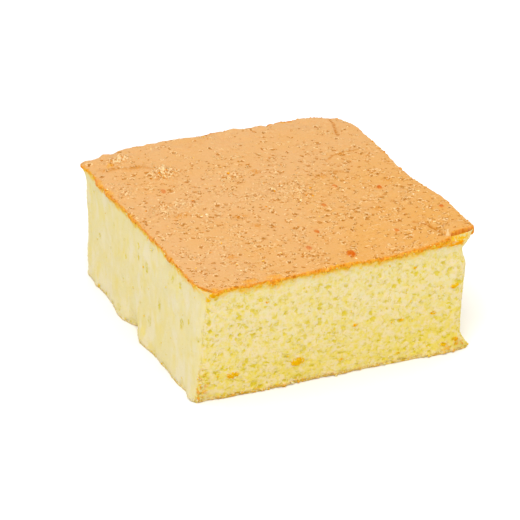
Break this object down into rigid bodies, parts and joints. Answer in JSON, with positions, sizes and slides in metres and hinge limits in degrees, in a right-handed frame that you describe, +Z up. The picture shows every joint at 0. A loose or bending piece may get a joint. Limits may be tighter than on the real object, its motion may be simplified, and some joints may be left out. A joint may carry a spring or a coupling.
{
  "type": "cheesecake",
  "caption": "Near-square block of sponge cheesecake with upright cut sides and a thin browned skin on top, one corner of the skin lifted.",
  "frame": {"origin": "middle of the base, at the centre of the part's footprint box", "axes": "+Z up through the cake, -Y out of the front cut with the open crumb, +Y along the longer side, +X to the right of the front cut"},
  "size_m": [0.1062, 0.1076, 0.0466],
  "materials": {
    "crumb": "open pale yellow sponge crumb on the cut sides, browned skin on the top",
    "browned_skin": "thin tan skin of the baked top, with small burst bubbles, pale flakes and an orange cut edge"
  },
  "bodies": {
    "root": {"cheesecake": "crumb"}
  },
  "joints": []
}
